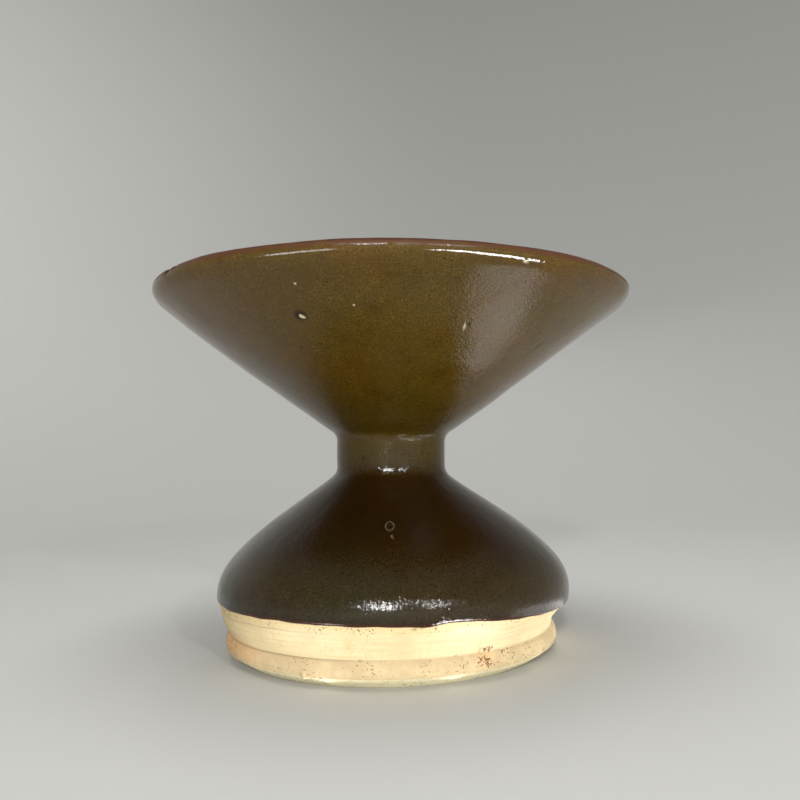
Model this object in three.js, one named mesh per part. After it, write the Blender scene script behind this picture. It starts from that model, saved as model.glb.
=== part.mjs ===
// A leys jar: a wide conical mouth on a short neck, over a squat belly and a bare splayed foot.
// Thrown stoneware in one piece, hollow and empty. Millimetres, +Z up, origin under the middle of the foot.
import * as THREE from "three";

// Diameters of the outside
const MOUTH_DIAMETER = 150;
const NECK_DIAMETER = 34.8;
const BELLY_DIAMETER = 110.6;
const GLAZE_LINE_DIAMETER = 109.2;
const GROOVE_DIAMETER = 101.4;
const BEVEL_DIAMETER = 102.6;
const STANDING_DIAMETER = 93.6;
const RECESS_DIAMETER = 78;

// Heights of the outside, from the floor up, each counted from the one before
const BEVEL_HEIGHT = 2.8;
const FOOT_RIM_HEIGHT = 5;
const CLAY_FLANK_HEIGHT = 8.6;
const GLAZED_HEEL_HEIGHT = 2.4;
const SHOULDER_HEIGHT = 35.5;
const NECK_HEIGHT = 11.9;
const BOWL_HEIGHT = 45.5;

// Walls, square to the surface, the bowl's by the neck and the belly's at its widest place and its top
const BOWL_WALL = 4.8;
const NECK_WALL = 4.6;
const BELLY_WALL = 5.4;
const FLOOR_THICKNESS = 7;
const GLAZE_THICKNESS = 0.5;

// The recess under the foot
const RECESS_DEPTH = 3;
const RECESS_DRAFT = 1;

// Lip: a round bead that the bowl's underside turns up into
const LIP_RADIUS = 1.8;
const LIP_TURN_HEIGHT = 1.5;
const LIP_TURN_LENGTH = 4.2;

// Roundings, and how far a curved stretch swells from its straight line
const FOOT_RIM_SWELL = 0.8;
const GROOVE_ROUNDING = 1.6;
const NECK_ROUNDING = 2.1;
const THROAT_ROUNDING = 3;
const FLOOR_ROUNDING = 12;
const BOWL_SWELL = 0.5;

// The shoulder leaves the neck at this many degrees below the horizontal, and its two ends keep their
// direction for these shares of its own height and width
const SHOULDER_SLOPE = 38.7;
const SHOULDER_LOWER_ARM = 0.385;
const SHOULDER_UPPER_ARM = 0.31;

// How finely round stretches are divided
const SIDES = 64;
const CORNER_STEPS = 3;
const SWELL_STEPS = 4;
const LIP_STEPS = 5;
const FLOOR_STEPS = 4;
const SHOULDER_STEPS = 10;
const SHOULDER_INSIDE_STEPS = 7;

const grooveZ = BEVEL_HEIGHT + FOOT_RIM_HEIGHT;
const glazeLineZ = grooveZ + CLAY_FLANK_HEIGHT;
const widestZ = glazeLineZ + GLAZED_HEEL_HEIGHT;
const neckFootZ = widestZ + SHOULDER_HEIGHT;
const neckTopZ = neckFootZ + NECK_HEIGHT;
const mouthZ = neckTopZ + BOWL_HEIGHT;
const floorZ = RECESS_DEPTH + FLOOR_THICKNESS;

const neckRadius = NECK_DIAMETER / 2;
const throatRadius = neckRadius - NECK_WALL;
const mouthRadius = MOUTH_DIAMETER / 2;

// The outline is drawn in radius and height, from the axis under the foot, up the outside, over the lip
// and down the inside to the axis again
const point = (radius, height) => new THREE.Vector2(radius, height);

// The point a distance away, in a direction given in degrees above the outward horizontal
function along(start, degrees, distance) {
  const angle = THREE.MathUtils.degToRad(degrees);
  return point(start.x + distance * Math.cos(angle), start.y + distance * Math.sin(angle));
}

// The point where a line through a start, in a direction in degrees, reaches a radius
function crossing(start, degrees, radius) {
  return point(radius, start.y + (radius - start.x) * Math.tan(THREE.MathUtils.degToRad(degrees)));
}

function bend(start, corner, end, steps) {
  return new THREE.QuadraticBezierCurve(start, corner, end).getPoints(steps);
}

// A nearly straight stretch that swells by a distance to its right, seen from start to end
function swollen(start, end, swell, steps) {
  const line = end.clone().sub(start).normalize();
  const middle = start.clone().lerp(end, 0.5).add(point(line.y, -line.x).multiplyScalar(2 * swell));
  return bend(start, middle, end, steps);
}

// Standing ring and recess, from the axis outwards
function underside() {
  const recess = RECESS_DIAMETER / 2;
  return [
    point(0, RECESS_DEPTH),
    point(recess - RECESS_DRAFT, RECESS_DEPTH),
    point(recess, 0),
    point(STANDING_DIAMETER / 2, 0),
  ];
}

// Bare clay: bevel, foot rim, groove and flank, up to the edge of the glaze
function foot() {
  const bevelTop = point(BEVEL_DIAMETER / 2, BEVEL_HEIGHT);
  const groove = point(GROOVE_DIAMETER / 2, grooveZ);
  const flankFoot = point(GROOVE_DIAMETER / 2, grooveZ + GROOVE_ROUNDING);
  const glazeLine = point(GLAZE_LINE_DIAMETER / 2, glazeLineZ);
  const glazeEdge = point(glazeLine.x + GLAZE_THICKNESS, glazeLineZ + GLAZE_THICKNESS);
  return [
    ...swollen(bevelTop, groove, FOOT_RIM_SWELL, SWELL_STEPS),
    ...bend(groove, flankFoot, glazeLine, CORNER_STEPS),
    glazeEdge,
  ];
}

// The neck's corners are where the shoulder's and the bowl's straight lines would meet it
const neckFootCorner = point(neckRadius, neckFootZ);
const neckTopCorner = point(neckRadius, neckTopZ);
const shoulderTop = along(neckFootCorner, -SHOULDER_SLOPE, NECK_ROUNDING);

// The belly's wall from its widest place up to the neck, moved in by a thickness
function shoulder(inset, steps) {
  const widest = point(BELLY_DIAMETER / 2 - inset, widestZ);
  const top = along(shoulderTop, -90 - SHOULDER_SLOPE, inset);
  const lowerArm = point(widest.x, widest.y + SHOULDER_LOWER_ARM * (top.y - widest.y));
  const upperArm = along(top, -SHOULDER_SLOPE, SHOULDER_UPPER_ARM * (widest.x - top.x));
  return new THREE.CubicBezierCurve(widest, lowerArm, upperArm, top).getPoints(steps);
}

const lipWidest = point(mouthRadius, mouthZ - LIP_RADIUS);
const lipCorner = point(mouthRadius, lipWidest.y - LIP_TURN_HEIGHT);
const bowlLine = lipCorner.clone().sub(neckTopCorner);
const bowlSlope = THREE.MathUtils.radToDeg(bowlLine.angle());
const bowlFoot = along(neckTopCorner, bowlSlope, NECK_ROUNDING);
const bowlTop = along(lipCorner, bowlSlope, -LIP_TURN_LENGTH);

// The neck and the bowl's underside, up to the lip
function neckAndBowl() {
  return [
    ...bend(shoulderTop, neckFootCorner, point(neckRadius, neckFootZ + NECK_ROUNDING), CORNER_STEPS),
    ...bend(point(neckRadius, neckTopZ - NECK_ROUNDING), neckTopCorner, bowlFoot, CORNER_STEPS),
    ...swollen(bowlFoot, bowlTop, BOWL_SWELL, SWELL_STEPS),
  ];
}

// The bead of the lip, round to where it meets the inside of the bowl
function lip() {
  const middle = point(mouthRadius - LIP_RADIUS, mouthZ - LIP_RADIUS);
  const bead = [];
  for (let step = 0; step <= LIP_STEPS; step += 1) {
    bead.push(along(middle, ((90 + bowlSlope) * step) / LIP_STEPS, LIP_RADIUS));
  }
  return [...bend(bowlTop, lipCorner, lipWidest, CORNER_STEPS), ...bead];
}

// The inside of the bowl and the throat, downwards from the lip
function insideOfBowlAndNeck(lipInside) {
  const bowlInside = along(bowlFoot, bowlSlope + 90, BOWL_WALL);
  const throatTop = crossing(bowlInside, bowlSlope, throatRadius);
  const bellyTop = along(shoulderTop, -90 - SHOULDER_SLOPE, BELLY_WALL);
  const throatFoot = crossing(bellyTop, -SHOULDER_SLOPE, throatRadius);
  return [
    ...swollen(bowlInside, lipInside, BOWL_SWELL, SWELL_STEPS).reverse(),
    ...bend(bowlInside, throatTop, point(throatRadius, throatTop.y - THROAT_ROUNDING), CORNER_STEPS),
    ...bend(point(throatRadius, throatFoot.y + THROAT_ROUNDING), throatFoot, bellyTop, CORNER_STEPS),
  ];
}

// The inside of the belly and its floor, down and in to the axis
function insideOfBelly() {
  const wall = shoulder(BELLY_WALL, SHOULDER_INSIDE_STEPS).reverse();
  const widest = wall[wall.length - 1];
  const corner = point(widest.x, floorZ);
  const floorEdge = point(widest.x - FLOOR_ROUNDING, floorZ);
  return [...wall, ...bend(widest, corner, floorEdge, FLOOR_STEPS), point(0, floorZ)];
}

function outline() {
  const bead = lip();
  const lipInside = bead[bead.length - 1];
  const stations = [
    ...underside(),
    ...foot(),
    ...shoulder(0, SHOULDER_STEPS),
    ...neckAndBowl(),
    ...bead,
    ...insideOfBowlAndNeck(lipInside),
    ...insideOfBelly(),
  ];
  const closest = 0.001;
  return stations.filter((station, i) => i === 0 || station.distanceTo(stations[i - 1]) > closest);
}

const stoneware = new THREE.MeshStandardMaterial({ color: 0x4d4020, roughness: 0.32, metalness: 0 });
const jar = new THREE.Mesh(new THREE.LatheGeometry(outline(), SIDES), stoneware);
jar.name = "jar";
// A lathe turns its outline about Y, so the jar is stood up along Z
jar.rotation.x = Math.PI / 2;

const vessel = new THREE.Group();
vessel.add(jar);

export default vessel;
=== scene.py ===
import math

import bmesh
import bpy
import numpy as np
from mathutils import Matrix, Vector, noise


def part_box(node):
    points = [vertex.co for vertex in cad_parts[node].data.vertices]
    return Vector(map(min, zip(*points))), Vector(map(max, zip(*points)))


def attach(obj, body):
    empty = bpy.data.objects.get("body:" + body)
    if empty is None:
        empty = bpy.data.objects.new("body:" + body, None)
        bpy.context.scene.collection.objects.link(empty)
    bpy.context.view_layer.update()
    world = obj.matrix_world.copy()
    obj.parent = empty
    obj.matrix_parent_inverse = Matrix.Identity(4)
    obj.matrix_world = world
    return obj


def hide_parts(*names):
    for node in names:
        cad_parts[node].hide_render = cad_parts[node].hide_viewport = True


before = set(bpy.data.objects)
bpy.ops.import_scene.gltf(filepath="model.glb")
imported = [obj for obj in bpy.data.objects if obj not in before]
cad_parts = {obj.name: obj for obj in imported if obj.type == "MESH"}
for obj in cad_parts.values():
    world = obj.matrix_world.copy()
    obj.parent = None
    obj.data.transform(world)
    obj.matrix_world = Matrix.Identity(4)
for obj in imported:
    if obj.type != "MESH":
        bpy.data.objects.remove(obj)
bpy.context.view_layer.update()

MM = 0.001
cad_low, cad_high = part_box("jar")

# Outside of the jar; the mouth and the height come from the frame
MOUTH_RADIUS = (cad_high.x - cad_low.x) / 2 / MM
MOUTH_Z = cad_high.z / MM
NECK_RADIUS = 17.4
BELLY_RADIUS = 55.3
GLAZE_LINE_RADIUS = 54.6
GROOVE_RADIUS = 50.7
BEVEL_RADIUS = 51.5
STANDING_RADIUS = 46.8
RECESS_RADIUS = 39.0
BEVEL_Z = 3.1
GROOVE_Z = 7.9
GLAZE_LINE_Z = 16.15
WIDEST_Z = 18.8
NECK_FOOT_Z = 54.3
NECK_TOP_Z = 66.2

# Walls, recess and lip
BOWL_WALL = 4.8
NECK_WALL = 4.6
BELLY_WALL = 5.4
RECESS_DEPTH = 3.0
RECESS_DRAFT = 1.0
FLOOR_Z = 10.0
LIP_RADIUS = 1.8
LIP_TURN_HEIGHT = 1.9
LIP_TURN_LENGTH = 4.0

# Roundings and swells
FOOT_RIM_SWELL = 0.55
GROOVE_ROUNDING = 1.3
NECK_ROUNDING = 2.1
THROAT_ROUNDING = 3.0
FLOOR_ROUNDING = 12.0
BOWL_SWELL = 0.5
SHOULDER_SLOPE = 38.7
SHOULDER_LOWER_ARM = 0.385
SHOULDER_UPPER_ARM = 0.31
# The rolled edge of the glaze is a curve from the glaze line with these control points: (out, up)
GLAZE_EDGE_CONTROLS = ((0.62, 0.02), (0.64, 0.75), (0.64, 1.3))

# How far apart the rings of the mesh lie, and how many points each ring has
CLAY_STEP = 0.33
GLAZE_EDGE_STEP = 0.16
HEEL_STEP = 0.5
SHOULDER_STEP = 1.4
NECK_STEP = 0.8
BOWL_STEP = 2.2
LIP_STEP = 0.45
INSIDE_STEP = 2.8
RECESS_STEP = 2.0
RECESS_SIDE_STEP = 1.0
FINE_COLUMNS = 384
MIDDLE_COLUMNS = 192
COARSE_COLUMNS = 96
# Steps of each curve before its points are spaced out
CURVE_STEPS = 64
BEAD_STEPS = 24

# The foot was trimmed a little aslant, so in the jar's own upright frame the plane it stands on drops
# below the origin and rises towards +X
FOOT_DROP = 0.50
FOOT_SLANT = 0.0235

# The jar isn't quite true: its middle strays towards +X by these lengths around these heights
# (height, stray, spread)
STRAYS = ((11.0, -1.1, 2.5), (33.0, 1.35, 10.0), (60.0, -0.3, 6.0), (92.0, -0.8, 10.0))

# The glaze stops at a wavering line: (angle, rise, half width)
GLAZE_WAVES = (
    (-104.0, 0.45, 26.0),
    (-79.5, -0.35, 3.0),
    (-70.0, 1.15, 6.5),
    (-53.0, 0.35, 6.0),
    (-25.0, -0.85, 12.0),
    (-150.0, -0.5, 12.0),
    (20.0, 0.5, 14.0),
    (62.0, -0.6, 18.0),
    (95.0, 0.7, 9.0),
    (140.0, -0.4, 16.0),
    (172.0, 0.6, 10.0),
)
# Ripples of the glaze line: (rise, how many go round the jar, turn)
GLAZE_RIPPLES = ((0.07, 23, 40), (0.06, 37, 0))
# The wall wavers with the glaze line from the groove up to this height, less the farther from the line
WAVER_TOP_Z = 26.0
WAVER_POWER = 1.5


# Profile helpers: an outline is an array of (radius, height)
def point(radius, height):
    return np.array((radius, height))


def along(start, degrees, distance):
    """The point a distance away, in a direction in degrees above the outward horizontal."""
    angle = math.radians(degrees)
    return start + distance * np.array((math.cos(angle), math.sin(angle)))


def crossing(start, degrees, radius):
    """The point where a line from start, in a direction in degrees, reaches a radius."""
    return point(radius, start[1] + (radius - start[0]) * math.tan(math.radians(degrees)))


def bezier(controls):
    """A Bezier curve of any degree, from its first control point to its last."""
    share = np.linspace(0, 1, CURVE_STEPS + 1)[:, None]
    curves = [np.tile(control, (CURVE_STEPS + 1, 1)) for control in controls]
    while len(curves) > 1:
        curves = [(1 - share) * a + share * b for a, b in zip(curves, curves[1:])]
    return curves[0]


def swollen(start, end, swell):
    """A nearly straight line that swells by a distance to its right, seen from its start."""
    line = (end - start) / np.linalg.norm(end - start)
    middle = (start + end) / 2 + 2 * swell * np.array((line[1], -line[0]))
    return bezier((start, middle, end))


def spaced(points, step):
    """The same line with its points evenly spaced, about a step apart."""
    points = np.array(points, float)
    lengths = np.concatenate(([0], np.cumsum(np.linalg.norm(np.diff(points, axis=0), axis=1))))
    count = max(2, int(round(lengths[-1] / step)) + 1)
    places = np.linspace(0, lengths[-1], count)
    return np.column_stack([np.interp(places, lengths, points[:, k]) for k in (0, 1)])


def joined(stretches):
    """Stretches one after the other, without the points that they share."""
    rows = [stretches[0]]
    rows += [stretch[1:] for stretch in stretches[1:]]
    return np.vstack(rows)


# Corners that several stretches share
neck_foot = point(NECK_RADIUS, NECK_FOOT_Z)
neck_top = point(NECK_RADIUS, NECK_TOP_Z)
shoulder_top = along(neck_foot, -SHOULDER_SLOPE, NECK_ROUNDING)
lip_widest = point(MOUTH_RADIUS, MOUTH_Z - LIP_RADIUS)
lip_corner = lip_widest - (0, LIP_TURN_HEIGHT)
bowl_slope = math.degrees(math.atan2(*(lip_corner - neck_top)[::-1]))
bowl_foot = along(neck_top, bowl_slope, NECK_ROUNDING)
bowl_top = along(lip_corner, bowl_slope, -LIP_TURN_LENGTH)
lip_middle = point(MOUTH_RADIUS - LIP_RADIUS, MOUTH_Z - LIP_RADIUS)
lip_inside = along(lip_middle, 90 + bowl_slope, LIP_RADIUS)


def clay_outline():
    """Bevel, foot rim, groove and flank, from the floor up to the glaze line."""
    bevel_top = point(BEVEL_RADIUS, BEVEL_Z)
    groove = point(GROOVE_RADIUS, GROOVE_Z)
    flank_foot = point(GROOVE_RADIUS, GROOVE_Z + GROOVE_ROUNDING)
    glaze_line = point(GLAZE_LINE_RADIUS, GLAZE_LINE_Z)
    bevel = np.array((point(STANDING_RADIUS, 0), bevel_top))
    rim = swollen(bevel_top, groove, FOOT_RIM_SWELL)
    flank = bezier((groove, flank_foot, glaze_line))
    return joined([spaced(bevel, CLAY_STEP), spaced(rim, CLAY_STEP), spaced(flank, CLAY_STEP)])


def glaze_edge_outline():
    """The rolled edge of the glaze, a little proud of the clay."""
    start = point(GLAZE_LINE_RADIUS, GLAZE_LINE_Z)
    controls = [start] + [start + control for control in GLAZE_EDGE_CONTROLS]
    return spaced(bezier(controls), GLAZE_EDGE_STEP)


def shoulder(inset):
    """The belly's wall from its widest place up to the neck, moved in by a thickness."""
    widest = point(BELLY_RADIUS - inset, WIDEST_Z)
    top = along(shoulder_top, -90 - SHOULDER_SLOPE, inset)
    lower_arm = widest + (0, SHOULDER_LOWER_ARM * (top[1] - widest[1]))
    upper_arm = along(top, -SHOULDER_SLOPE, SHOULDER_UPPER_ARM * (widest[0] - top[0]))
    return bezier((widest, lower_arm, upper_arm, top))


def outside_outline():
    """Everything outside that the fine rings cover, from the floor up and over the lip."""
    edge = glaze_edge_outline()
    heel = np.array((edge[-1], point(BELLY_RADIUS, WIDEST_Z)))
    neck_foot_end = point(NECK_RADIUS, NECK_FOOT_Z + NECK_ROUNDING)
    neck_top_start = point(NECK_RADIUS, NECK_TOP_Z - NECK_ROUNDING)
    neck = joined([
        bezier((shoulder_top, neck_foot, neck_foot_end)),
        bezier((neck_top_start, neck_top, bowl_foot)),
    ])
    bead_turns = np.linspace(0, 90 + bowl_slope, BEAD_STEPS + 1)
    bead = np.array([along(lip_middle, turn, LIP_RADIUS) for turn in bead_turns])
    lip = joined([bezier((bowl_top, lip_corner, lip_widest)), bead])
    return joined([
        clay_outline(),
        edge,
        spaced(heel, HEEL_STEP),
        spaced(shoulder(0), SHOULDER_STEP),
        spaced(neck, NECK_STEP),
        spaced(swollen(bowl_foot, bowl_top, BOWL_SWELL), BOWL_STEP),
        spaced(lip, LIP_STEP),
    ])


def inside_outlines():
    """The bowl and throat, then the belly and its floor to near the axis, downwards."""
    bowl_inside = along(bowl_foot, bowl_slope + 90, BOWL_WALL)
    throat_radius = NECK_RADIUS - NECK_WALL
    throat_top = crossing(bowl_inside, bowl_slope, throat_radius)
    belly_top = along(shoulder_top, -90 - SHOULDER_SLOPE, BELLY_WALL)
    throat_foot = crossing(belly_top, -SHOULDER_SLOPE, throat_radius)
    throat = joined([
        bezier((bowl_inside, throat_top, throat_top - (0, THROAT_ROUNDING))),
        bezier((throat_foot + (0, THROAT_ROUNDING), throat_foot, belly_top)),
    ])
    bowl = swollen(bowl_inside, lip_inside, BOWL_SWELL)[::-1]
    wall = shoulder(BELLY_WALL)[::-1]
    widest = wall[-1]
    floor = bezier((widest, point(widest[0], FLOOR_Z), point(widest[0] - FLOOR_ROUNDING, FLOOR_Z)))
    middle = np.array((floor[-1], point(INSIDE_STEP, FLOOR_Z)))
    upper = joined([spaced(bowl, INSIDE_STEP), spaced(throat, NECK_STEP)])
    lower = joined([spaced(wall, INSIDE_STEP), spaced(floor, INSIDE_STEP), spaced(middle, INSIDE_STEP)])
    return upper, lower


def underside_outlines():
    """The recess from near the axis, then its side and the ring that the jar stands on, outwards."""
    recess_edge = point(RECESS_RADIUS - RECESS_DRAFT, RECESS_DEPTH)
    ring_inside = point(RECESS_RADIUS, 0)
    recess = np.array((point(RECESS_STEP, RECESS_DEPTH), recess_edge))
    side = np.array((recess_edge, ring_inside))
    ring = np.array((ring_inside, point(STANDING_RADIUS, 0)))
    standing = joined([spaced(side, RECESS_SIDE_STEP), spaced(ring, RECESS_STEP)])
    return spaced(recess, RECESS_STEP), standing


def bumps(values, places, wrap=None):
    """The sum of smooth bumps at the given places: (place, height, width)."""
    total = np.zeros_like(values)
    for place, height, width in places:
        away = values - place
        if wrap:
            away = (away + wrap / 2) % wrap - wrap / 2
        total += height * np.exp(-0.5 * (away / width) ** 2)
    return total


def glaze_rise(angles):
    """How far the glaze line lies above its usual height, round the jar."""
    rise = bumps(angles, GLAZE_WAVES, 360)
    for height, count, turn in GLAZE_RIPPLES:
        rise += height * np.sin(np.radians(count * angles + turn))
    return rise


clay_profile = clay_outline()
flank_profile = clay_profile[clay_profile[:, 1] >= GROOVE_Z]


def rise_share(heights):
    """How much of the glaze line's rise a height follows: all at the line, none at the groove."""
    below = np.clip((heights - GROOVE_Z) / (GLAZE_LINE_Z - GROOVE_Z), 0, 1)
    above = np.clip((WAVER_TOP_Z - heights) / (WAVER_TOP_Z - GLAZE_LINE_Z), 0, 1)
    return np.where(heights < GLAZE_LINE_Z, below, above) ** WAVER_POWER


def slant_share(heights):
    """How much of the foot's slant a height follows: all up to the groove, none from the glaze line."""
    return np.clip((GLAZE_LINE_Z - heights) / (GLAZE_LINE_Z - GROOVE_Z), 0, 1)


def foot_plane(x):
    """The height of the plane that the jar stands on, in the jar's upright frame."""
    return FOOT_SLANT * x - FOOT_DROP


def stand(places):
    """Places of the upright jar, as rows, moved so that its slanting foot stands flat on the floor."""
    lean = math.atan(FOOT_SLANT)
    x, y, z = np.array(places).T
    z = z + FOOT_DROP
    leant_x = x * math.cos(lean) + z * math.sin(lean)
    leant_z = z * math.cos(lean) - x * math.sin(lean)
    return np.column_stack((leant_x, y, leant_z))


def ring(radius, height, columns, outside):
    """One ring of the mesh as an array of points, with the jar's unevenness in it."""
    angles = np.arange(columns) * 360 / columns
    radii = np.full(columns, radius)
    heights = np.full(columns, height)
    if outside and GROOVE_Z < height < WAVER_TOP_Z:
        moved = heights + glaze_rise(angles) * rise_share(heights)
        usual = np.interp(height, flank_profile[:, 1], flank_profile[:, 0])
        radii = radii - usual + np.interp(moved, flank_profile[:, 1], flank_profile[:, 0])
        heights = moved
    turns = np.radians(angles)
    strays = bumps(heights, STRAYS)
    x = radii * np.cos(turns) + strays
    y = radii * np.sin(turns)
    return np.column_stack((x, y, heights + slant_share(height) * foot_plane(x)))


def stitched(first, first_count, second, second_count):
    """Faces between two rings that start at the given vertex numbers; one may have twice as many."""
    faces = []
    if first_count == second_count:
        for i in range(first_count):
            j = (i + 1) % first_count
            faces.append((first + i, first + j, second + j, second + i))
        return faces
    coarse_count = min(first_count, second_count)
    fine, coarse = (first, second) if first_count > second_count else (second, first)
    for i in range(coarse_count):
        j = (i + 1) % coarse_count
        a, b, c = fine + 2 * i, fine + 2 * i + 1, fine + 2 * j
        three = [(a, b, coarse + i), (b, c, coarse + j), (b, coarse + j, coarse + i)]
        faces += three if first_count > second_count else [face[::-1] for face in three]
    return faces


def jar_rows():
    """The rings of the closed wall, from the middle of the underside round to the middle of the floor
    inside, as (radius and height, points in the ring, whether it is outside, whether it is glazed)."""
    recess, standing = underside_outlines()
    outside = outside_outline()
    upper, lower = inside_outlines()
    clay_rings = len(clay_profile) - 1
    rows = [(p, COARSE_COLUMNS, False, False) for p in recess]
    rows += [(p, MIDDLE_COLUMNS, False, False) for p in standing[1:-1]]
    rows += [(p, FINE_COLUMNS, True, k >= clay_rings) for k, p in enumerate(outside)]
    rows += [(p, MIDDLE_COLUMNS, False, True) for p in upper[1:]]
    rows += [(p, COARSE_COLUMNS, False, True) for p in lower[1:]]
    return rows


def jar_grid():
    """Points, faces and each face's material, 0 for clay and 1 for glaze."""
    rows = jar_rows()
    points = [np.array(((0, 0, RECESS_DEPTH),))]
    points += [ring(p[0], p[1], columns, outside) for p, columns, outside, _ in rows]
    points += [np.array(((0, 0, FLOOR_Z),))]
    counts = [row[1] for row in rows]
    starts = np.concatenate(([1], 1 + np.cumsum(counts)))
    last = int(starts[-1])
    faces = [(0, 1 + (i + 1) % counts[0], 1 + i) for i in range(counts[0])]
    materials = [0] * len(faces)
    for k in range(len(rows) - 1):
        band = stitched(int(starts[k]), counts[k], int(starts[k + 1]), counts[k + 1])
        faces += band
        materials += [int(rows[k][3])] * len(band)
    top = int(starts[-2])
    faces += [(last, top + i, top + (i + 1) % counts[-1]) for i in range(counts[-1])]
    materials += [1] * counts[-1]
    return np.vstack(points), faces, materials


whole_outside = outside_outline()
outer_side = whole_outside[: int(np.argmax(whole_outside[:, 1])) + 1]


def on_surface(angle, height):
    """The point of the outside wall at an angle and a height."""
    turn = math.radians(angle)
    profile_height = height - slant_share(height) * foot_plane(BEVEL_RADIUS * math.cos(turn))
    radius = np.interp(profile_height, outer_side[:, 1], outer_side[:, 0])
    stray = bumps(np.array([height]), STRAYS)[0]
    return np.array((radius * math.cos(turn) + stray, radius * math.sin(turn), height))


# Marks in the wall: (angle, height, reach, lift at the middle, lift of the rim, radius of the rim)
MARKS = {
    "blister": (-111.8, 96.0, 1.7, 0.16, -0.10, 1.15),
    "burst bubble": (-91.8, 40.4, 1.8, -0.30, 0.28, 1.20),
    "left speck": (-109.7, 102.7, 1.6, 0.08, 0.0, 1.0),
    "middle speck": (-97.7, 97.9, 1.6, 0.06, 0.0, 1.0),
    "lip bubble": (-63.0, 107.8, 0.9, 0.15, 0.0, 1.0),
    "right pit": (-68.1, 94.2, 0.8, -0.2, 0.03, 0.6),
    "far pit": (-35.3, 91.2, 0.8, -0.2, 0.03, 0.6),
    "neck dot": (-118.6, 59.0, 0.9, -0.2, 0.0, 1.0),
    "round lump": (-115.9, 2.6, 1.5, 0.75, 0.0, 1.0),
    "foot notch": (-160.4, 5.7, 1.8, -0.6, 0.0, 1.0),
    "bevel nick": (-31.3, 4.2, 1.6, -0.5, 0.0, 1.0),
    "rim chip": (-145.0, 111.2, 2.4, -0.9, 0.0, 1.0),
    "small rim chip": (-141.5, 111.3, 1.6, -0.8, 0.0, 1.0),
    "back pit": (70.0, 92.0, 1.2, -0.3, 0.06, 0.9),
    "back bubble": (118.0, 36.0, 1.8, -0.2, 0.15, 1.0),
    "back nick": (150.0, 3.2, 1.6, -0.5, 0.0, 1.0),
}
marks = [(on_surface(angle, height), *shape) for angle, height, *shape in MARKS.values()]
# In reaches of a mark: how wide its dome and its rim are, where it ends, and the circles in which the mesh
# is made finer, the widest only where its rings lie far apart
DOME_WIDTH = 0.6
RIM_WIDTH = 0.25
MARK_END = 2.2
FINER_WITHIN = (1.6, 1.0)
FINER_WITHIN_WIDE = (2.4, *FINER_WITHIN)


def refine(shape):
    """Makes the mesh finer around the marks."""
    for centre, reach, *_ in marks:
        middle = Vector(centre)
        far_apart = WIDEST_Z < centre[2] < bowl_top[1]
        for circle in FINER_WITHIN_WIDE if far_apart else FINER_WITHIN:
            near = [v for v in shape.verts if (v.co - middle).length < circle * reach]
            inside = set(near)
            edges = dict.fromkeys(e for v in near for e in v.link_edges if e.other_vert(v) in inside)
            if edges:
                bmesh.ops.subdivide_edges(shape, edges=list(edges), cuts=1, use_grid_fill=True)


def mark_lift(places):
    """How far the marks move points of the wall outwards."""
    total = np.zeros(len(places))
    for centre, reach, middle, rim, rim_radius in marks:
        away = np.linalg.norm(places - centre, axis=1)
        dome = middle * np.exp(-((away / (DOME_WIDTH * reach)) ** 2))
        edge = rim * np.exp(-(((away - rim_radius) / (RIM_WIDTH * reach)) ** 2))
        total += np.where(away < MARK_END * reach, dome + edge, 0)
    return total


# Unevenness of the wall: (height, how many waves per millimetre, the same all round or along each axis)
LUMPS = ((0.22, 1 / 26), (0.09, 1 / 9))
CLAY_GRAIN = ((0.07, (0.02, 0.02, 1.6)), (0.035, (0.05, 0.05, 4.5)), (0.04, 1.1))
GLAZE_GRAIN = ((0.1, (0.004, 0.004, 0.18)), (0.02, 1.1))
# Lumps grow to their full height this far above the floor, and the standing ring has no unevenness
LUMPS_FULL_Z = 3.0
STANDING_BAND = 0.05


def unevenness(places, layers):
    """The sum of layers of smooth noise at the places."""
    total = np.zeros(len(places))
    for height, scale in layers:
        total += height * np.array([noise.noise(Vector(place)) for place in places * scale])
    return total


def above_line(places):
    """How far the places lie above the edge of the glaze."""
    angles = np.degrees(np.arctan2(places[:, 1], places[:, 0]))
    return places[:, 2] - GLAZE_LINE_Z - glaze_rise(angles)


def relief(places, normals):
    """How far the wall strays outwards from its plain outline: lumps, turning lines, grain and marks."""
    foot_heights = places[:, 2] - foot_plane(places[:, 0])
    lumps = unevenness(places, LUMPS) * np.clip(foot_heights / LUMPS_FULL_Z, 0, 1)
    outwards = np.sum(places[:, :2] * normals[:, :2], axis=1) > 0
    bare = outwards & (above_line(places) < 0)
    grain = np.where(bare, unevenness(places, CLAY_GRAIN), unevenness(places, GLAZE_GRAIN))
    return np.where(foot_heights < STANDING_BAND, 0, lumps + grain + mark_lift(places))


def build_jar():
    """The whole jar as one closed mesh, standing on the floor in metres."""
    points, faces, face_materials = jar_grid()
    shape = bmesh.new()
    verts = [shape.verts.new(p) for p in points]
    for face, material in zip(faces, face_materials):
        made = shape.faces.new([verts[i] for i in face])
        made.material_index = material
        made.smooth = True
    refine(shape)
    mesh = bpy.data.meshes.new("turned_jar")
    shape.to_mesh(mesh)
    shape.free()
    places = np.array([v.co for v in mesh.vertices])
    normals = np.array([v.normal for v in mesh.vertices])
    places += normals * relief(places, normals)[:, None]
    for name, values in tones(places).items():
        mesh.attributes.new(name, "FLOAT", "POINT").data.foreach_set("value", values)
    standing = stand(places) * MM
    standing[:, 2] = np.maximum(standing[:, 2], 0)
    mesh.vertices.foreach_set("co", standing.ravel())
    mesh.update()
    jar = bpy.data.objects.new("turned_jar", mesh)
    bpy.context.scene.collection.objects.link(jar)
    return jar


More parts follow.
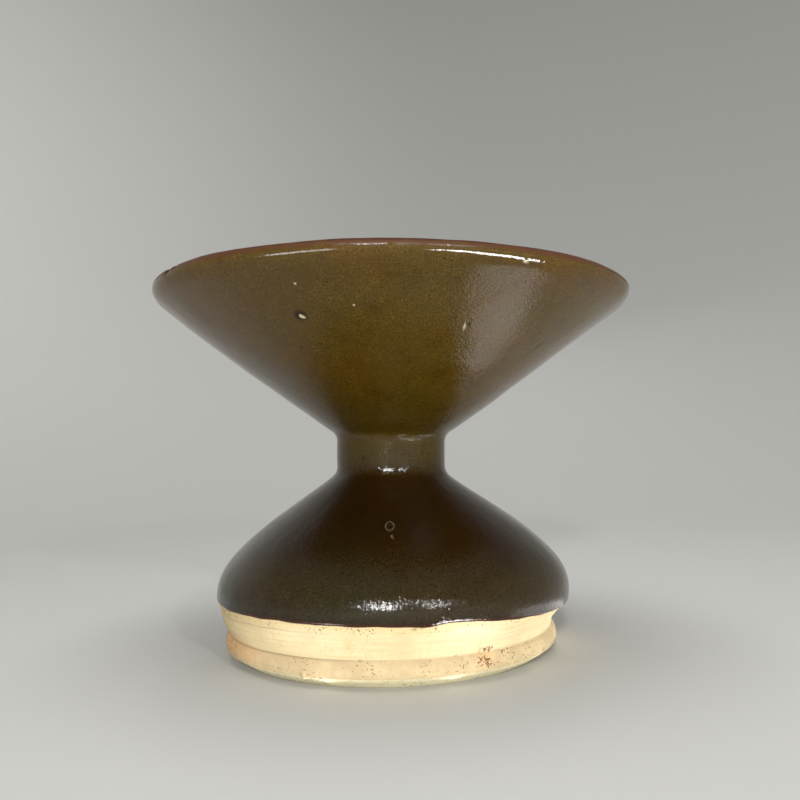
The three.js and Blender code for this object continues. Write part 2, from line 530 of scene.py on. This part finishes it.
# Small pale and dark spots that go with the marks: (angle, height, radius). The dark spots in the pits,
# chips, nick and bubble craters are painted shade in those hollows; the others are dark specks, drips of
# glaze and a dark ring round the blister.
PALE_SPOTS = (
    (-112.1, 96.2, 0.44),
    (-111.8, 96.0, 0.54),
    (-111.4, 95.8, 0.44),
    (-91.2, 37.9, 0.24),
    (-109.7, 102.7, 0.34),
    (-97.7, 97.9, 0.30),
    (-63.0, 107.8, 0.42),
    (-68.9, 93.9, 0.32),
    (118.0, 36.0, 0.40),
)
# Dark spots: painted shade in the hollows, and dark specks
DARK_SPECKS_AND_HOLLOW_SHADE = (
    (-112.1, 96.2, 1.8),
    (-91.8, 40.4, 0.75),
    (-68.1, 94.2, 0.42),
    (-35.3, 91.2, 0.50),
    (-118.6, 59.0, 0.50),
    (-51.4, 84.2, 0.60),
    (-38.2, 80.7, 0.50),
    (-145.0, 111.2, 1.8),
    (-141.5, 111.3, 1.2),
    (-31.3, 4.2, 0.6),
    (-83.8, 16.0, 0.5),
    (-81.4, 16.2, 0.45),
    (70.0, 92.0, 0.8),
    (118.0, 36.0, 1.1),
)
# A painted highlight on the raised rim of the burst bubble, drawn as a thin pale ring: (angle, height,
# radius, half width). It is longer down the wall, is this pale, and is paler at its top than at its bottom.
PAINTED_RIM_HIGHLIGHTS = ((-91.9, 40.4, 1.15, 0.17),)
RING_STRETCH = 1.6
RING_SHARE = 0.16
RING_MIDDLE = 0.75
RING_FADE = 0.5

# Stains in the clay: (angle, height, half width, half height, strength)
ORANGE_STAINS = (
    (-158.0, 5.0, 7.0, 3.0, 0.85),
    (-143.0, 5.0, 8.0, 2.4, 0.50),
    (-101.5, 11.2, 1.0, 1.5, 0.55),
    (-60.0, 6.6, 3.4, 1.7, 0.35),
    (60.0, 6.0, 7.0, 2.0, 0.50),
    (140.0, 11.0, 5.0, 2.0, 0.35),
)
RUSTY_PATCHES = (
    (-60.6, 5.6, 3.8, 2.4, 1.0),
    (-59.0, 8.9, 3.4, 0.9, 0.9),
    (95.0, 5.0, 3.0, 1.6, 0.85),
)
# Painted shade in the groove and along a trimming line: (angle, strength, half width in degrees)
GROOVE_SHADE = ((-140.0, 0.7, 20.0), (-112.0, 0.45, 16.0), (30.0, 0.35, 40.0), (120.0, 0.5, 40.0))
GROOVE_LINE_HALF = 0.22
TRIM_LINE_SHADE = ((-152.0, 0.6, 14.0), (-124.0, 0.35, 8.0))
TRIM_LINE_DROP = 2.4
TRIM_LINE_HALF = 0.16


def spots(places, values):
    """How strongly the places are inside small round spots on the wall."""
    total = np.zeros(len(places))
    for angle, height, radius in values:
        away = np.linalg.norm(places - on_surface(angle, height), axis=1)
        total += np.exp(-((away / radius) ** 4))
    return np.minimum(total, 1)


def rings(places, values):
    """How strongly the places are on thin rings on the wall, each fading at its lower side."""
    total = np.zeros(len(places))
    for angle, height, radius, half_width in values:
        from_middle = places - on_surface(angle, height)
        turn = math.radians(angle)
        across = from_middle[:, 1] * math.cos(turn) - from_middle[:, 0] * math.sin(turn)
        down = np.sqrt(np.maximum(np.sum(from_middle**2, axis=1) - across**2, 0))
        away = np.hypot(across, down / RING_STRETCH)
        strength = np.clip(RING_MIDDLE + RING_FADE * from_middle[:, 2] / radius, 0, 1)
        total += strength * np.exp(-(((away - radius) / half_width) ** 2))
    return np.minimum(total, 1)


def patches(places, values):
    """How strongly the places are inside soft oval patches on the foot."""
    angles = np.degrees(np.arctan2(places[:, 1], places[:, 0]))
    total = np.zeros(len(places))
    for middle, height, half_width, half_height, strength in values:
        across = np.radians((angles - middle + 180) % 360 - 180) * BEVEL_RADIUS
        up = places[:, 2] - height
        total += strength * np.exp(-((across / half_width) ** 2) - (up / half_height) ** 2)
    return np.minimum(total, 1)


def tones(places):
    """The values that the materials read, at points of the upright jar."""
    angles = np.degrees(np.arctan2(places[:, 1], places[:, 0]))
    foot_heights = places[:, 2] - foot_plane(places[:, 0])
    above = above_line(places)
    in_groove = np.exp(-(((foot_heights - GROOVE_Z) / GROOVE_LINE_HALF) ** 2))
    on_trim = np.exp(-(((above + TRIM_LINE_DROP) / TRIM_LINE_HALF) ** 2))
    # Painted shade in the groove and along the trimming line
    crease_shade = bumps(angles, GROOVE_SHADE, 360) * in_groove + bumps(angles, TRIM_LINE_SHADE, 360) * on_trim
    return {
        "height": places[:, 2],
        "foot_height": foot_heights,
        "above_line": above,
        # The pale spots, with a share of the painted highlight on the burst bubble's rim
        "pale": np.minimum(spots(places, PALE_SPOTS) + RING_SHARE * rings(places, PAINTED_RIM_HIGHLIGHTS), 1),
        # Painted shade in the hollows of the marks, and dark specks
        "dark": spots(places, DARK_SPECKS_AND_HOLLOW_SHADE),
        "orange": patches(places, ORANGE_STAINS),
        "rusty": patches(places, RUSTY_PATCHES),
        "crease_shade": np.minimum(crease_shade, 1),
    }


class Shader:
    """A material's nodes, with short ways to add and join them. Lengths in it are millimetres."""

    def __init__(self, name, roughness):
        self.material = bpy.data.materials.new(name)
        self.material.use_nodes = True
        self.tree = self.material.node_tree
        self.surface = self.tree.nodes["Principled BSDF"]
        self.surface.inputs["Roughness"].default_value = roughness
        in_metres = self.tree.nodes.new("ShaderNodeTexCoord").outputs["Object"]
        scaled = self.tree.nodes.new("ShaderNodeVectorMath")
        scaled.operation = "SCALE"
        self.put(scaled, {0: in_metres, "Scale": 1 / MM})
        self.place = scaled.outputs["Vector"]

    def put(self, node, inputs):
        for key, value in inputs.items():
            socket = node.inputs[key]
            if isinstance(value, bpy.types.NodeSocket):
                self.tree.links.new(value, socket)
            else:
                socket.default_value = value

    def maths(self, operation, a, b):
        node = self.tree.nodes.new("ShaderNodeMath")
        node.operation = operation
        self.put(node, {0: a, 1: b})
        return node.outputs[0]

    def noise(self, scale, detail, roughness=0.5, place=None):
        node = self.tree.nodes.new("ShaderNodeTexNoise")
        inputs = {"Vector": place or self.place, "Scale": scale, "Detail": detail, "Roughness": roughness}
        self.put(node, inputs)
        return node.outputs["Fac"]

    def between(self, value, low, high):
        """From 0 at low to 1 at high, smooth between them and flat beyond; low may be the larger."""
        node = self.tree.nodes.new("ShaderNodeMapRange")
        node.interpolation_type = "SMOOTHSTEP"
        flip = low > high
        ends = {"From Min": min(low, high), "From Max": max(low, high)}
        self.put(node, {"Value": value, **ends, "To Min": float(flip), "To Max": float(not flip)})
        return node.outputs["Result"]

    def patchy(self, pattern):
        """From 0 to 1 between two levels of a noise: (scale, detail, roughness, low, high)."""
        *texture, low, high = pattern
        return self.between(self.noise(*texture), low, high)

    def share(self, value, least, more):
        """A share that grows from least to least + more while the value grows from 0 to 1."""
        return self.maths("ADD", least, self.maths("MULTIPLY", value, more))

    def mix(self, share, a, b, way="MIX"):
        node = self.tree.nodes.new("ShaderNodeMix")
        node.data_type = "RGBA"
        node.blend_type = way
        a, b = [(*v, 1) if isinstance(v, tuple) else v for v in (a, b)]
        self.put(node, {"Factor": share, 6: a, 7: b})
        return node.outputs[2]

    def tint(self, share, colour, tint):
        """The colour times a tint, by a share."""
        return self.mix(share, colour, self.mix(1.0, colour, tint, "MULTIPLY"))

    def ramp(self, value, stops):
        node = self.tree.nodes.new("ShaderNodeValToRGB")
        self.put(node, {"Fac": value})
        places = node.color_ramp.elements
        for k, (place, colour) in enumerate(stops):
            stop = places[k] if k < 2 else places.new(place)
            stop.position = place
            stop.color = (*colour, 1)
        return node.outputs["Color"]

    def attribute(self, name):
        node = self.tree.nodes.new("ShaderNodeAttribute")
        node.attribute_name = name
        return node.outputs["Fac"]

    def bump(self, height, distance):
        node = self.tree.nodes.new("ShaderNodeBump")
        self.put(node, {"Height": height, "Strength": 1.0, "Distance": distance * MM})
        self.tree.links.new(node.outputs["Normal"], self.surface.inputs["Normal"])

    def colour(self, socket):
        self.tree.links.new(socket, self.surface.inputs["Base Color"])


# Glaze colours, linear, by height: (height, colour). They are partly the glaze's own colour and partly
# painted shade: the shoulder, from 36 to 53 mm, is painted much darker for the shade of the wide bowl above
# it.
GLAZE_AND_SHADE_BY_HEIGHT = (
    (16.5, (0.012, 0.006, 0.003)),
    (19.0, (0.020, 0.015, 0.006)),
    (26.0, (0.022, 0.016, 0.005)),
    (36.0, (0.014, 0.0065, 0.0008)),
    (46.0, (0.014, 0.0050, 0.0004)),
    (53.0, (0.016, 0.0058, 0.0005)),
    (59.0, (0.036, 0.023, 0.0023)),
    (72.0, (0.050, 0.030, 0.0027)),
    (90.0, (0.068, 0.038, 0.0045)),
    (108.0, (0.074, 0.042, 0.0055)),
)
SPECK_TINT = (2.1, 2.2, 2.6)
GRAIN_TINT = (0.40, 0.36, 0.30)
CLOUD_TINT = (0.72, 0.64, 0.55)
WARM_TINT = (1.08, 0.97, 0.90)
COOL_TINT = (0.95, 1.00, 1.00)
RUST = (0.070, 0.026, 0.0085)
RUST_EDGE = (0.045, 0.014, 0.006)
EDGE_BROWN = (0.035, 0.010, 0.004)
CREAM_MARK_AND_RIM_HIGHLIGHT = (0.62, 0.52, 0.33)
# Near-black colour of the painted shade in the hollows and of the dark specks
HOLLOW_SHADE_AND_SPECK_BROWN = (0.012, 0.006, 0.002)
GLAZE_ROUGHNESS = 0.06
GLAZE_SPECULAR = 0.32
RUST_ROUGHNESS = 0.45
GLAZE_BUMP = 0.11
# Heights over which the glaze turns to rust, the rust darkens at the lip, the brown edge of the glaze fades
# and the bumps of the glaze die down to a share, and how far above the glaze line it is brown
RUST_START = (109.4, 110.3)
RUST_DARK = (110.6, 111.3)
EDGE_FADE = (30.0, 24.0)
CALM_LIP = (107.5, 105.0)
CALM_SHARE = 0.3
EDGE_BAND = (1.1, 0.5)
# Patchy noises of the glaze: (waves per millimetre, detail, roughness, low, high)
CLOUDS = (0.11, 5, 0.62, 0.5, 0.8)
WARM_AREAS = (0.028, 3, 0.5, 0.40, 0.60)
LIVELY_AREAS = (0.3, 3, 0.5, 0.36, 0.62)
GLAZE_SPECKS = (1.9, 2, 0.6, 0.48, 0.64)
DARK_GRAINS = (1.7, 2, 0.5, 0.56, 0.70)
RUST_PATCHES = (0.5, 3, 0.5, 0.30, 0.56)
# Plain noises: (waves per millimetre, detail)
RAGGED_NOISE = (0.35, 4)
RIPPLE_NOISE = (1.6, 2)
SWELL_NOISE = (0.3, 2)
# Shares of its tints and bumps: one number, or (least, how much more where the patches are)
GRAIN_SHARE = 0.7
SWELL_SHARE = 0.7
GLAZE_SPECK_SHARE = (0.24, 0.28)
RUST_SHARE = (0.6, 0.4)
# The rust's lower edge wanders up and down with a noise, by this height round the noise's middle
NOISE_MIDDLE = 0.5
RAGGED_HEIGHT = 1.6


def glaze_material():
    s = Shader("speckled_glaze", GLAZE_ROUGHNESS)
    s.surface.inputs["Specular IOR Level"].default_value = GLAZE_SPECULAR
    height = s.attribute("height")
    # The colours by height include the painted shade on the shoulder
    by_height = [(stop / MOUTH_Z, colour) for stop, colour in GLAZE_AND_SHADE_BY_HEIGHT]
    colour = s.ramp(s.maths("DIVIDE", height, MOUTH_Z), by_height)

    colour = s.tint(s.patchy(CLOUDS), colour, CLOUD_TINT)
    warm = s.patchy(WARM_AREAS)
    colour = s.tint(warm, colour, WARM_TINT)
    colour = s.tint(s.maths("SUBTRACT", 1.0, warm), colour, COOL_TINT)
    lively = s.share(s.patchy(LIVELY_AREAS), *GLAZE_SPECK_SHARE)
    colour = s.tint(s.maths("MULTIPLY", s.patchy(GLAZE_SPECKS), lively), colour, SPECK_TINT)
    colour = s.tint(s.maths("MULTIPLY", s.patchy(DARK_GRAINS), GRAIN_SHARE), colour, GRAIN_TINT)

    uneven = s.maths("SUBTRACT", s.noise(*RAGGED_NOISE), NOISE_MIDDLE)
    rust = s.between(s.maths("ADD", height, s.maths("MULTIPLY", uneven, RAGGED_HEIGHT)), *RUST_START)
    rust_share = s.maths("MULTIPLY", rust, s.share(s.patchy(RUST_PATCHES), *RUST_SHARE))
    colour = s.mix(rust_share, colour, s.mix(s.between(height, *RUST_DARK), RUST, RUST_EDGE))
    edge = s.between(s.attribute("above_line"), *EDGE_BAND)
    edge_share = s.maths("MULTIPLY", edge, s.between(height, *EDGE_FADE))
    colour = s.mix(edge_share, colour, EDGE_BROWN)
    # Painted shade in the pits, chips and bubble craters, and the dark specks of the glaze
    colour = s.mix(s.attribute("dark"), colour, HOLLOW_SHADE_AND_SPECK_BROWN)
    # Cream of the pale spots, and the painted highlight on the burst bubble's rim
    colour = s.mix(s.attribute("pale"), colour, CREAM_MARK_AND_RIM_HIGHLIGHT)
    s.colour(colour)

    rougher = s.maths("MULTIPLY", rust, RUST_ROUGHNESS - GLAZE_ROUGHNESS)
    s.put(s.surface, {"Roughness": s.maths("ADD", GLAZE_ROUGHNESS, rougher)})
    peel = s.maths("ADD", s.noise(*RIPPLE_NOISE), s.maths("MULTIPLY", s.noise(*SWELL_NOISE), SWELL_SHARE))
    calm = s.share(s.between(height, *CALM_LIP), CALM_SHARE, 1 - CALM_SHARE)
    s.bump(s.maths("MULTIPLY", peel, calm), GLAZE_BUMP)
    return s.material


# Clay colours, linear
CREAM = (0.60, 0.495, 0.285)
DULL_CREAM = (0.52, 0.42, 0.235)
TAN = (0.50, 0.35, 0.175)
RIM_TAN = (0.43, 0.33, 0.18)
# The bevel is painted much paler than the clay above it, as painted light from below
BEVEL_CREAM_PAINTED_LIGHT = (0.92, 0.84, 0.56)
LINE_TAN = (0.57, 0.42, 0.19)
ORANGE = (0.62, 0.33, 0.14)
RUSTY_BROWN = (0.13, 0.045, 0.015)
# Brown of the painted shade in the groove and along the trimming line
CREASE_SHADE_BROWN = (0.24, 0.16, 0.085)
SPECK_BROWN = (0.13, 0.06, 0.025)
CLAY_ROUGHNESS = 0.78
CLAY_BUMP = 0.10
# Waves per millimetre of the turning lines along each axis
LINE_SCALE = (0.04, 0.04, 2.0)
# Heights over the floor at which the rim's colour and the bevel's painted light end, and heights from the
# glaze line over which the clay turns tan and more speckled
RIM_TOP = (8.3, 7.6)
BEVEL_TOP = (BEVEL_Z + 0.3, BEVEL_Z - 0.3)
TAN_BAND = (-2.6, -0.4)
SPECK_BAND = (-3.2, -1.0)
# Patchy noises of the clay: (waves per millimetre, detail, roughness, low, high)
DULL_AREAS = (0.09, 4, 0.5, 0.35, 0.7)
WORN_AREAS = (0.25, 4, 0.5, 0.3, 0.65)
BLOTCHES = (0.7, 3, 0.5, 0.55, 0.68)
# Plain noises: (waves per millimetre, detail, roughness where it isn't 0.5), and the levels at which their
# tints begin and are full. The turning lines take their waves from LINE_SCALE.
LINE_DETAIL = 3
LINE_LEVELS = (0.50, 0.68)
SPECK_NOISE = (1.7, 2)
SPECK_LEVELS = (0.82, 0.89)
CLUSTER_NOISE = (0.16, 2)
CRUMB_NOISE = (1.4, 3, 0.7)
CRUMB_LEVELS = (0.74, 0.81)
ROUGH_NOISE = (1.6, 3)
# Shares of its tints and bumps: one number, or (least, how much more where the patches are)
LINE_SHARE = 0.5
RIM_SHARE = (0.55, 0.45)
TAN_SHARE = 0.5
BLOTCH_SHARE = 0.35
SPECK_SHARE = 0.2
RIM_SPECK_SHARE = 0.8
EDGE_SPECK_SHARE = 0.7
CLUSTER_SHARE = 0.35
CROWDING_SHARE = 0.035
CRUMB_SHARE = 0.3
LINE_RELIEF = 1.2


def clay_material():
    s = Shader("bare_clay", CLAY_ROUGHNESS)
    foot_height = s.attribute("foot_height")
    above = s.attribute("above_line")
    colour = s.mix(s.patchy(DULL_AREAS), CREAM, DULL_CREAM)
    stretched = s.tree.nodes.new("ShaderNodeMapping")
    s.put(stretched, {"Vector": s.place, "Scale": LINE_SCALE})
    lines = s.noise(1.0, LINE_DETAIL, place=stretched.outputs["Vector"])
    line_share = s.maths("MULTIPLY", s.between(lines, *LINE_LEVELS), LINE_SHARE)
    colour = s.mix(line_share, colour, TAN)

    rim = s.between(foot_height, *RIM_TOP)
    rim_share = s.maths("MULTIPLY", rim, s.share(s.patchy(WORN_AREAS), *RIM_SHARE))
    colour = s.mix(rim_share, colour, RIM_TAN)
    # Painted light: the downward-facing bevel is painted pale as if lit from below
    colour = s.mix(s.between(foot_height, *BEVEL_TOP), colour, BEVEL_CREAM_PAINTED_LIGHT)
    colour = s.mix(s.maths("MULTIPLY", s.between(above, *TAN_BAND), TAN_SHARE), colour, LINE_TAN)
    colour = s.mix(s.maths("MULTIPLY", s.patchy(BLOTCHES), BLOTCH_SHARE), colour, TAN)
    colour = s.mix(s.attribute("orange"), colour, ORANGE)

    near_line = s.between(above, *SPECK_BAND)
    on_rim = s.maths("MULTIPLY", rim, RIM_SPECK_SHARE)
    busy = s.maths("MAXIMUM", on_rim, s.maths("MULTIPLY", near_line, EDGE_SPECK_SHARE))
    clustered = s.maths("MULTIPLY", s.noise(*CLUSTER_NOISE), CLUSTER_SHARE)
    crowded = s.maths("ADD", clustered, s.maths("MULTIPLY", near_line, CROWDING_SHARE))
    speck = s.between(s.maths("ADD", s.noise(*SPECK_NOISE), crowded), *SPECK_LEVELS)
    colour = s.mix(s.maths("MULTIPLY", speck, s.maths("ADD", SPECK_SHARE, busy)), colour, SPECK_BROWN)
    # Painted shade in the groove and along the trimming line
    colour = s.mix(s.attribute("crease_shade"), colour, CREASE_SHADE_BROWN)
    rusty = s.maths("MULTIPLY", s.attribute("rusty"), CRUMB_SHARE)
    crumbs = s.maths("ADD", s.noise(*CRUMB_NOISE), rusty)
    colour = s.mix(s.between(crumbs, *CRUMB_LEVELS), colour, RUSTY_BROWN)
    # Painted shade in the nick of the bevel, and dark drips of glaze on the clay
    colour = s.mix(s.attribute("dark"), colour, SPECK_BROWN)
    s.colour(colour)

    grain = s.maths("ADD", s.noise(*ROUGH_NOISE), s.maths("MULTIPLY", lines, LINE_RELIEF))
    s.bump(grain, CLAY_BUMP)
    return s.material


jar = build_jar()
jar.data.materials.append(clay_material())
jar.data.materials.append(glaze_material())
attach(jar, "root")
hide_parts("jar")

# Studio: a round floor that curves up into a wall all round, in metres
FLOOR_RINGS = (0.1, 0.3)
FLOOR_RADIUS = 0.42
COVE_RADIUS = 0.85
COVE_STEP = 6
WALL_TOP = 1.3
STUDIO_SIDES = 96
PAPER_GREY = (0.42, 0.418, 0.40, 1)
PAPER_ROUGHNESS = 0.9


def studio():
    turns = [math.radians(a) for a in range(0, 91, COVE_STEP)]
    cove = [(FLOOR_RADIUS + COVE_RADIUS * math.sin(t), COVE_RADIUS * (1 - math.cos(t))) for t in turns]
    outline = [(radius, 0.0) for radius in FLOOR_RINGS] + cove + [(FLOOR_RADIUS + COVE_RADIUS, WALL_TOP)]
    points = [(0, 0, 0)]
    for radius, height in outline:
        for k in range(STUDIO_SIDES):
            angle = 2 * math.pi * k / STUDIO_SIDES
            points.append((radius * math.cos(angle), radius * math.sin(angle), height))
    faces = [(0, 1 + k, 1 + (k + 1) % STUDIO_SIDES) for k in range(STUDIO_SIDES)]
    for row in range(len(outline) - 1):
        low = 1 + row * STUDIO_SIDES
        high = low + STUDIO_SIDES
        for k in range(STUDIO_SIDES):
            j = (k + 1) % STUDIO_SIDES
            faces.append((low + k, high + k, high + j, low + j))
    mesh = bpy.data.meshes.new("studio")
    mesh.from_pydata(points, [], faces)
    mesh.polygons.foreach_set("use_smooth", [True] * len(faces))
    room = bpy.data.objects.new("studio", mesh)
    bpy.context.scene.collection.objects.link(room)
    paper = Shader("grey_paper", PAPER_ROUGHNESS)
    paper.surface.inputs["Base Color"].default_value = PAPER_GREY
    room.data.materials.append(paper.material)


# Soft boxes: (name, degrees right of the camera's side, degrees up, distance, width, height, power,
# whether the glaze mirrors it)
SOFT_BOXES = (
    ("front_lamp", -6, 20, 0.95, 0.06, 0.08, 5.6, True),
    ("right_lamp", 25, 19, 0.95, 0.03, 0.05, 2.2, True),
    ("right_fill", 49, 2, 0.75, 0.46, 0.12, 2.2, False),
    ("left_fill", -49, 2, 0.75, 0.40, 0.12, 0.15, False),
    ("overhead", -10, 83, 1.1, 0.85, 0.85, 11.0, False),
    ("back_lamp", 172, 28, 1.0, 0.25, 0.15, 0.8, True),
)

# Bright cards that lie on the floor and that the glaze mirrors: (name, degrees right, distance of its
# middle, width, depth, power, whether it lights the clay too)
FLOOR_CARDS = (
    ("bowl_glow", 80, 0.086, 0.072, 0.055, 0.024, True),
    ("right_lip_gleam", 39, 0.205, 0.046, 0.16, 1.25, False),
    ("left_lip_gleam", -36, 0.315, 0.11, 0.17, 1.3, False),
)
# A card's spread keeps the belly, which lies low, from mirroring the cards that are for the lip
CARD_SPREAD = 148
# Cards in an arc round the foot light its bevel from below: (distance, width, depth, power)
FOOT_GLOW_ANGLES = range(-40, 101, 20)
FOOT_GLOW = (0.070, 0.028, 0.030, 0.0042)
# Narrow beams that only the edge of the glaze mirrors: (name, degrees right, distance, width, depth, power)
EDGE_GLEAMS = (
    ("right_edge_gleam", 26.0, 0.070, 0.020, 0.010, 0.0045),
    ("left_edge_gleam", -24.4, 0.070, 0.015, 0.007, 0.0009),
)
EDGE_GLEAM_SPREAD = 55
# A lamp for the wall behind, to the left: (degrees right, degrees up, distance, width, height, power)
WALL_WASH = (20, 60, 1.2, 0.5, 0.5, 2.2)
WALL_WASH_TARGET = Vector((-1.0, 1.0, 0.55))
WALL_WASH_SPREAD = 60
JAR_MIDDLE = Vector((0, 0, MOUTH_Z / 2 * MM))
CARD_LIFT = 0.001
EDGE_GLEAM_LIFT = 0.0035


def aim(box, target, spread=180):
    box.rotation_euler = (target - box.location).to_track_quat("-Z", "Y").to_euler()
    box.data.spread = math.radians(spread)


def soft_box(name, right, up, distance, width, height, power, mirrored):
    lamp = bpy.data.lights.new(name, "AREA")
    lamp.shape = "RECTANGLE"
    lamp.size = width
    lamp.size_y = height
    lamp.energy = power
    box = bpy.data.objects.new(name, lamp)
    bpy.context.scene.collection.objects.link(box)
    turn, rise = math.radians(right), math.radians(up)
    way = Vector((math.sin(turn) * math.cos(rise), -math.cos(turn) * math.cos(rise), math.sin(rise)))
    box.location = JAR_MIDDLE + way * distance
    box.visible_camera = False
    box.visible_glossy = mirrored
    aim(box, JAR_MIDDLE)
    return box


def floor_card(name, right, distance, width, depth, power, mirrored=True):
    """A card that lies on the floor and shines upwards."""
    card = soft_box(name, right, 0, distance, width, depth, power, mirrored)
    card.location.z = CARD_LIFT
    card.rotation_euler = (math.pi, 0, math.radians(-right))
    return card


def edge_gleam(name, right, *values):
    """A narrow beam from low down on to the edge of the glaze."""
    card = floor_card(name, right, *values)
    card.visible_diffuse = False
    card.location.z = EDGE_GLEAM_LIFT
    turn = math.radians(right)
    edge = Vector((math.sin(turn) * GLAZE_LINE_RADIUS, -math.cos(turn) * GLAZE_LINE_RADIUS, GLAZE_LINE_Z))
    aim(card, edge * MM, EDGE_GLEAM_SPREAD)


studio()
for box_values in SOFT_BOXES:
    soft_box(*box_values)
for *card_values, lights_clay in FLOOR_CARDS:
    mirrored_card = floor_card(*card_values)
    mirrored_card.visible_diffuse = lights_clay
    if not lights_clay:
        mirrored_card.data.spread = math.radians(CARD_SPREAD)
for glow_angle in FOOT_GLOW_ANGLES:
    floor_card("foot_glow", glow_angle, *FOOT_GLOW, mirrored=False)
for gleam_values in EDGE_GLEAMS:
    edge_gleam(*gleam_values)
wall_wash = soft_box("wall_wash", *WALL_WASH, mirrored=False)
aim(wall_wash, WALL_WASH_TARGET, WALL_WASH_SPREAD)

ROOM_GREY = (0.5, 0.5, 0.5, 1)
ROOM_STRENGTH = 0.5
world = bpy.data.worlds.new("dim_room")
world.use_nodes = True
world.node_tree.nodes["Background"].inputs["Color"].default_value = ROOM_GREY
world.node_tree.nodes["Background"].inputs["Strength"].default_value = ROOM_STRENGTH
bpy.context.scene.world = world
bpy.context.scene.view_settings.view_transform = "Standard"

# Camera, where the photograph was taken from, given in the jar's upright frame
CAMERA_PLACE = Vector((2.64, -260.2, 61.85))
CAMERA_PITCH = 3.481
CAMERA_LENS = 36
SENSOR_WIDTH = 36
CLIP_START = 0.01
camera_data = bpy.data.cameras.new("camera")
camera_data.lens = CAMERA_LENS
camera_data.sensor_width = SENSOR_WIDTH
camera_data.clip_start = CLIP_START
camera = bpy.data.objects.new("camera", camera_data)
camera.location = stand([CAMERA_PLACE])[0] * MM
camera.rotation_euler = (math.radians(90 + CAMERA_PITCH), math.atan(FOOT_SLANT), 0)
bpy.context.scene.collection.objects.link(camera)
bpy.context.scene.camera = camera
